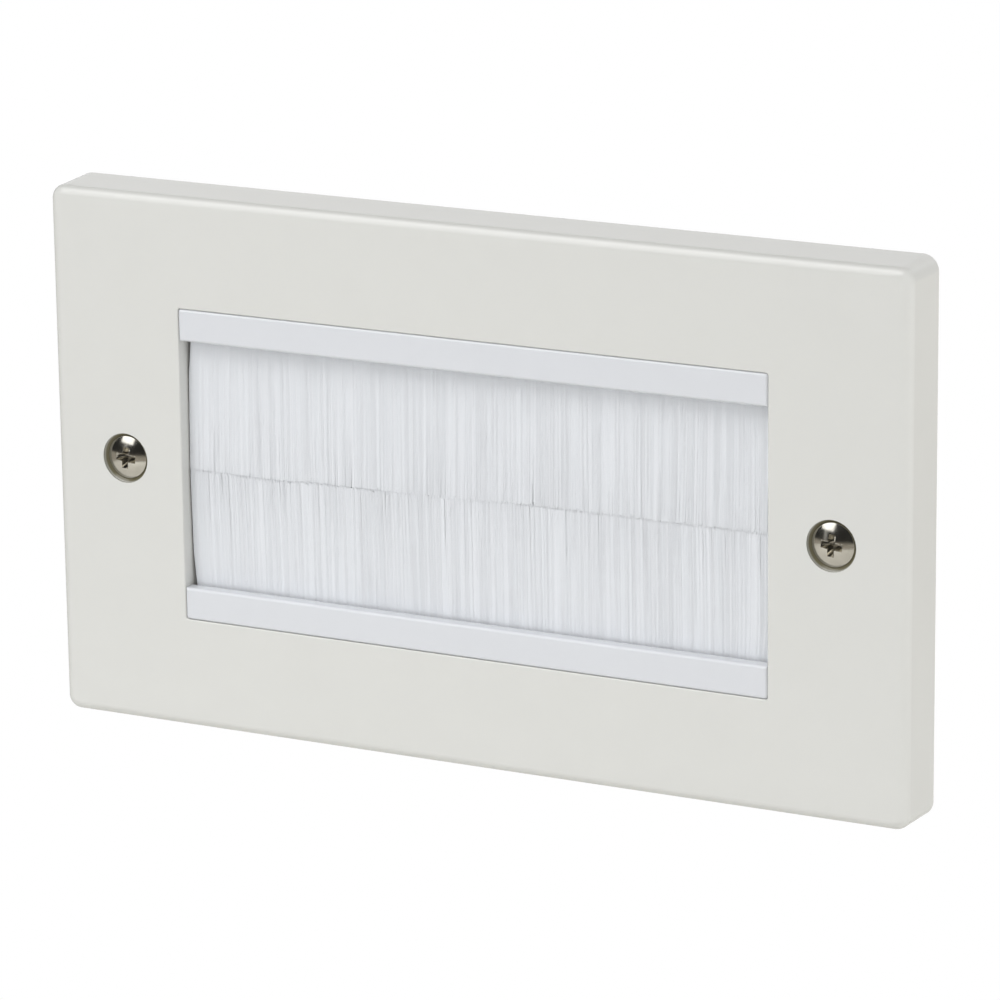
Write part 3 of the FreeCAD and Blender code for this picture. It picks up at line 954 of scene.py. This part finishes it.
@dataclass
class FixingScrews:
    """Two raised countersunk machine screws with cross recesses, modelled once along Z and copied."""

    names: tuple[str, str] = ("left_screw", "right_screw")
    sides: tuple[int, int] = (-1, 1)

    head_diameter: float = 7.2
    rim_depth: float = 0.77
    head_raise: float = 0.85
    head_round: float = 0.3
    sink_angle: float = 90.0
    plain_diameter: float = 3.1

    thread_diameter: float = 3.5
    thread_root: float = 2.8
    thread_pitch: float = 0.6
    thread_length: float = 21.5
    # flats of the thread as shares of its pitch: at the root on each side, and half of the crest
    root_flat: float = 0.1
    half_crest: float = 0.06
    # how far the plain shank reaches into the thread, as a share of the pitch
    shank_overlap: float = 0.25

    recess_span: float = 3.6
    recess_wing: float = 1.1
    recess_depth: float = 1.75
    # how wide the recess's floor is, as a share of its width at the top of the dome
    recess_floor: float = 0.55
    # how far the cutter stands out of the head, as a share of the recess's depth
    cutter_rise: float = 0.3
    recess_turn: float = 6.0

    steps: int = 96
    dome_rings: int = 16
    rim_segments: int = 5
    thread_steps: int = 20
    edge_round: float = 0.05
    edge_segments: int = 2
    edge_angle: float = 32.0
    smooth_angle: float = 28.0

    head_radius: float = field(init=False)
    dome_top: float = field(init=False)
    length: float = field(init=False)

    def __post_init__(self) -> None:
        """Work out the screws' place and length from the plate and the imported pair."""
        self.head_radius = self.head_diameter / 2
        self.dome_top = PLATE_FACE + self.rim_depth - self.head_raise
        self.length = SCREWS_HIGH.y - self.dome_top

    def turned_blank(self) -> bpy.types.Object:
        """Turn the domed head and the plain shank.

        Returns:
            The blank, with the top of its dome at height 0.
        """
        dome_radius = (self.head_radius**2 + self.head_raise**2) / (2 * self.head_raise)
        dome_angle = math.asin(self.head_radius / dome_radius)
        profile = []
        for ring in range(self.dome_rings + 1):
            angle = dome_angle * ring / self.dome_rings
            profile.append((dome_radius * math.sin(angle), dome_radius * (math.cos(angle) - 1)))
        plain = self.plain_diameter / 2
        cone = (self.head_radius - plain) / math.tan(math.radians(self.sink_angle / 2))
        profile.append((plain, -self.head_raise - cone))
        thread_start = self.length - self.thread_length
        shank_end = -thread_start - self.thread_pitch * self.shank_overlap
        profile.append((plain, shank_end))
        profile.append((0.0, shank_end))
        return turn_profile("screw", profile, self.steps)

    def round_rim(self) -> None:
        """Round the edge between the dome and the cone of the active blank."""
        bpy.ops.object.mode_set(mode="EDIT")
        rim = self.head_radius * math.cos(math.pi / self.steps)
        pick("EDGE", lambda middle: math.hypot(middle.x, middle.y) > rim - NEAR)
        bpy.ops.mesh.bevel(
            offset=self.head_round * MM, offset_type="WIDTH", segments=self.rim_segments
        )
        close_mesh()
        bpy.ops.object.mode_set(mode="OBJECT")

    def cross_cutter(self) -> bpy.types.Object:
        """Model the tapered cross that is sunk into the head.

        Returns:
            The cutter, wide at the top and narrow at its floor.
        """
        above = self.recess_depth * self.cutter_rise
        wing = self.recess_wing
        cutter = start_piece(
            "cutter",
            bpy.ops.mesh.primitive_cube_add,
            size=MM,
            scale=(wing, wing, self.recess_depth + above),
            location=(0, 0, (above - self.recess_depth) / 2 * MM),
        )
        bpy.ops.object.mode_set(mode="OBJECT")
        bpy.ops.object.transform_apply(location=True, rotation=True, scale=True)
        bpy.ops.object.mode_set(mode="EDIT")
        reach = (self.recess_span - wing) / 2
        for x, y in ((1, 0), (-1, 0), (0, 1), (0, -1)):
            pick("FACE", lambda middle: abs(middle.x - x * wing / 2) + abs(middle.y - y * wing / 2) < NEAR)
            step = (x * reach * MM, y * reach * MM, 0)
            bpy.ops.mesh.extrude_region_move(TRANSFORM_OT_translate={"value": step})
        pick("VERT", lambda middle: middle.z < 0)
        narrow = self.recess_floor
        bpy.ops.transform.resize(value=(narrow, narrow, 1), center_override=(0, 0, 0))
        pick("VERT", lambda middle: middle.z > 0)
        widen = 1 + (1 - narrow) * above / self.recess_depth
        bpy.ops.transform.resize(value=(widen, widen, 1), center_override=(0, 0, 0))
        close_mesh()
        bpy.ops.object.mode_set(mode="OBJECT")
        return cutter

    def threaded_length(self) -> bpy.types.Object:
        """Wind the thread by sweeping one pitch of its profile along a helix, then face both ends.

        Returns:
            The threaded length as a closed piece.
        """
        root, crest, pitch = self.thread_root / 2, self.thread_diameter / 2, self.thread_pitch
        corners = [
            (root, 0.0),
            (root, self.root_flat),
            (crest, 0.5 - self.half_crest),
            (crest, 0.5 + self.half_crest),
            (root, 1 - self.root_flat),
            (root, 1.0),
        ]
        end = -self.length
        start = end - pitch
        thread = trace_profile("thread", [(radius, start + share * pitch) for radius, share in corners])
        bpy.ops.object.mode_set(mode="OBJECT")
        # a spare turn at each end is cut off again
        turns = math.ceil(self.thread_length / pitch) + 2
        apply_modifier(
            thread,
            "SCREW",
            angle=math.tau,
            screw_offset=pitch * MM,
            iterations=turns,
            steps=self.thread_steps,
            render_steps=self.thread_steps,
            use_merge_vertices=True,
            merge_threshold=MERGE * MM,
        )
        bpy.ops.object.mode_set(mode="EDIT")
        close_mesh()
        for height, outward in ((end, -1), (end + self.thread_length, 1)):
            bpy.ops.mesh.select_all(action="SELECT")
            bpy.ops.mesh.bisect(
                plane_co=(0, 0, height * MM),
                plane_no=(0, 0, outward),
                use_fill=True,
                clear_outer=True,
                threshold=SNAP * MM,
            )
        close_mesh()
        bpy.ops.object.mode_set(mode="OBJECT")
        return thread

    def model_screw(self) -> bpy.types.Object:
        """Model one screw: a turned blank with a sunk cross and a wound thread.

        Returns:
            The screw along Z, with the top of its dome at height 0.
        """
        screw = self.turned_blank()
        self.round_rim()
        cutter = self.cross_cutter()
        apply_modifier(screw, "BOOLEAN", operation="DIFFERENCE", object=cutter, solver="EXACT")
        bpy.data.objects.remove(cutter)
        apply_modifier(
            screw,
            "BEVEL",
            width=self.edge_round * MM,
            segments=self.edge_segments,
            limit_method="ANGLE",
            angle_limit=math.radians(self.edge_angle),
        )
        thread = self.threaded_length()
        apply_modifier(screw, "BOOLEAN", operation="UNION", object=thread, solver="EXACT")
        bpy.data.objects.remove(thread)
        select_only(screw)
        bpy.ops.object.shade_smooth_by_angle(angle=math.radians(self.smooth_angle))
        return screw

    def build(self) -> list[bpy.types.Object]:
        """Model a screw and set a copy of it in each hole, facing the room.

        Returns:
            The two screws.
        """
        model = self.model_screw()
        screws = []
        for name, side in zip(self.names, self.sides):
            screw = model.copy()
            screw.data = model.data.copy()
            screw.name = name
            screw.data.name = name
            bpy.context.scene.collection.objects.link(screw)
            screw.rotation_euler = (math.radians(90), math.radians(self.recess_turn), 0)
            screw.location = (side * SCREW_REACH * MM, self.dome_top * MM, 0)
            select_only(screw)
            bpy.ops.object.transform_apply(location=True, rotation=True, scale=True)
            NICKEL.dress(screw)
            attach(screw, BODY)
            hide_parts("fixing_screws")
            screws.append(screw)
        bpy.data.objects.remove(model)
        return screws


# Studio


def towards(azimuth: float, elevation: float) -> Vector:
    """Give the direction from the plate at angles in degrees, azimuth 0 being straight in front of it."""
    turn, rise = math.radians(azimuth), math.radians(elevation)
    return Vector((math.sin(turn) * math.cos(rise), -math.cos(turn) * math.cos(rise), math.sin(rise)))


@dataclass(frozen=True)
class SoftBox:
    """A rectangular soft lamp that faces the plate, placed by angles seen from the plate."""

    name: str
    azimuth: float
    elevation: float
    distance: float
    width: float
    height: float
    brightness: float
    colour: str = "#ffffff"
    mirrored: bool = True

    def place(self) -> None:
        """Hang the lamp so that it shines at the plate."""
        data = bpy.data.lights.new(self.name, "AREA")
        data.shape = "RECTANGLE"
        data.size = self.width * MM
        data.size_y = self.height * MM
        # a lamp's power is pi times its brightness and its area
        data.energy = self.brightness * math.pi * data.size * data.size_y
        data.color = linear(self.colour)[:3]
        lamp = bpy.data.objects.new(self.name, data)
        direction = towards(self.azimuth, self.elevation)
        lamp.location = direction * self.distance * MM
        lamp.rotation_euler = direction.to_track_quat("Z", "Y").to_euler()
        lamp.visible_glossy = self.mirrored
        lamp.visible_camera = False
        bpy.context.scene.collection.objects.link(lamp)


@dataclass(frozen=True)
class Studio:
    """A pale table under soft lamps, in front of a white background, seen from the photograph's side."""

    ambient: float = 0.295
    room_above: str = "#2c2c2b"
    room_below: str = "#a39e95"
    # how steeply down the paler floor ends and the walls start, as the sine of the angle
    floor_edge: tuple[float, float] = (-0.16, -0.1)
    white: str = "#ffffff"

    table: str = "#e6e4de"
    table_level: float = -160.0
    table_size: float = 840.0
    table_thickness: float = 20.0

    # the camera, fitted to the photograph
    azimuth: float = 27.282
    elevation: float = 15.344
    distance: float = 813.636
    roll: float = -0.683
    target: tuple[float, float, float] = (0.81, 0.0, -2.169)
    lens: float = 190.99

    # name, azimuth, elevation, distance, width, height and brightness of each lamp
    lamps: tuple[SoftBox, ...] = (
        SoftBox("key_softbox", -31.0, 25.0, 900.0, 470.0, 330.0, 2.0),
        SoftBox("stand_softbox", -33.0, 4.0, 900.0, 120.0, 360.0, 0.35),
        SoftBox("top_softbox", -25.0, 55.0, 1000.0, 900.0, 600.0, 3.1),
        SoftBox("front_softbox", 40.0, 10.0, 1600.0, 1280.0, 1120.0, 1.0, mirrored=False),
        SoftBox("side_softbox", 98.0, -6.0, 1500.0, 1000.0, 1330.0, 3.15, mirrored=False),
        SoftBox("low_softbox", -10.0, -13.0, 450.0, 500.0, 120.0, 1.7, "#f5f9ff", mirrored=False),
        SoftBox("back_softbox", 190.0, 14.0, 800.0, 1200.0, 700.0, 0.88),
    )

    def light_world(self) -> None:
        """Make the background white to the camera, an even light on the plate, and a room for the metal."""
        world = bpy.data.worlds.new("studio")
        tree = empty_tree(world)
        rays = add_node(tree, "ShaderNodeLightPath")
        even = add_node(
            tree, "ShaderNodeBackground", {"Color": linear(self.white), "Strength": self.ambient}
        )
        # the metal mirrors a dim room whose floor is paler than its walls
        way = add_node(tree, "ShaderNodeTexCoord")
        height = add_node(tree, "ShaderNodeSeparateXYZ", links={0: way.outputs["Generated"]})
        floor_ends, walls_start = self.floor_edge
        rise = add_node(
            tree,
            "ShaderNodeMapRange",
            {"From Min": floor_ends, "From Max": walls_start},
            {"Value": height.outputs["Z"]},
        )
        walls = add_node(
            tree,
            "ShaderNodeMix",
            {"data_type": "RGBA", MIX_FIRST: linear(self.room_below), MIX_SECOND: linear(self.room_above)},
            {MIX_SHARE: rise.outputs[0]},
        )
        room = add_node(tree, "ShaderNodeBackground", links={"Color": walls.outputs[MIX_RESULT]})
        white = add_node(tree, "ShaderNodeBackground", {"Color": linear(self.white)})
        metal = add_node(
            tree,
            "ShaderNodeMixShader",
            links={0: rays.outputs["Is Glossy Ray"], 1: even.outputs[0], 2: room.outputs[0]},
        )
        seen = add_node(
            tree,
            "ShaderNodeMixShader",
            links={0: rays.outputs["Is Camera Ray"], 1: metal.outputs[0], 2: white.outputs[0]},
        )
        add_node(tree, "ShaderNodeOutputWorld", links={"Surface": seen.outputs[0]})
        bpy.context.scene.world = world

    def lay_table(self) -> None:
        """Lay a pale table that the camera sees as white."""
        table = start_piece(
            "table",
            bpy.ops.mesh.primitive_plane_add,
            size=self.table_size * MM,
            location=(0, 0, self.table_level * MM),
        )
        down = (0, 0, -self.table_thickness * MM)
        bpy.ops.mesh.extrude_region_move(TRANSFORM_OT_translate={"value": down})
        close_mesh()
        bpy.ops.object.mode_set(mode="OBJECT")
        bpy.ops.object.transform_apply(location=True, rotation=True, scale=True)
        material = bpy.data.materials.new("pale_table")
        tree = empty_tree(material)
        rays = add_node(tree, "ShaderNodeLightPath")
        matt = add_node(tree, "ShaderNodeBsdfDiffuse", {"Color": linear(self.table)})
        white = add_node(tree, "ShaderNodeEmission", {"Color": linear(self.white)})
        seen = add_node(
            tree,
            "ShaderNodeMixShader",
            links={0: rays.outputs["Is Camera Ray"], 1: matt.outputs[0], 2: white.outputs[0]},
        )
        add_node(tree, "ShaderNodeOutputMaterial", links={"Surface": seen.outputs[0]})
        table.data.materials.append(material)

    def place_camera(self) -> None:
        """Stand the camera at the photograph's viewing angle."""
        turn, roll = math.radians(self.azimuth), math.radians(self.roll)
        back = towards(self.azimuth, self.elevation)
        right = Vector((math.cos(turn), math.sin(turn), 0))
        up = back.cross(right)
        right, up = right * math.cos(roll) + up * math.sin(roll), up * math.cos(roll) - right * math.sin(roll)
        data = bpy.data.cameras.new("camera")
        data.lens = self.lens
        camera = bpy.data.objects.new("camera", data)
        place = (Vector(self.target) + back * self.distance) * MM
        axes = Matrix((right, up, back)).transposed()
        camera.matrix_world = Matrix.Translation(place) @ axes.to_4x4()
        bpy.context.scene.collection.objects.link(camera)
        bpy.context.scene.camera = camera

    def build(self) -> None:
        """Set up the light, the table and the camera."""
        bpy.context.scene.view_settings.view_transform = "Standard"
        self.light_world()
        self.lay_table()
        for lamp in self.lamps:
            lamp.place()
        self.place_camera()


def main() -> None:
    """Build the pieces in order and log each one's face count and material."""
    logging.basicConfig(level=logging.INFO, format="%(name)s: %(message)s")
    pieces = Shell().dress()
    upper_partings = (-35.4, -24.0, -22.2, -21.2, -5.7, 10.2, 12.2)
    pieces += StripBrush(Row.UPPER, seed=11, partings=upper_partings, clump_pull=0.04).build()
    lower_partings = (-44.2, -40.0, -15.3, -5.8, -0.6)
    pieces += StripBrush(Row.LOWER, seed=23, partings=lower_partings, clump_pull=0.07).build()
    pieces += FixingScrews().build()
    Studio().build()
    for piece in pieces:
        log.info("%s: %d faces, %s", piece.name, len(piece.data.polygons), piece.active_material.name)


if __name__ == "__main__":
    main()
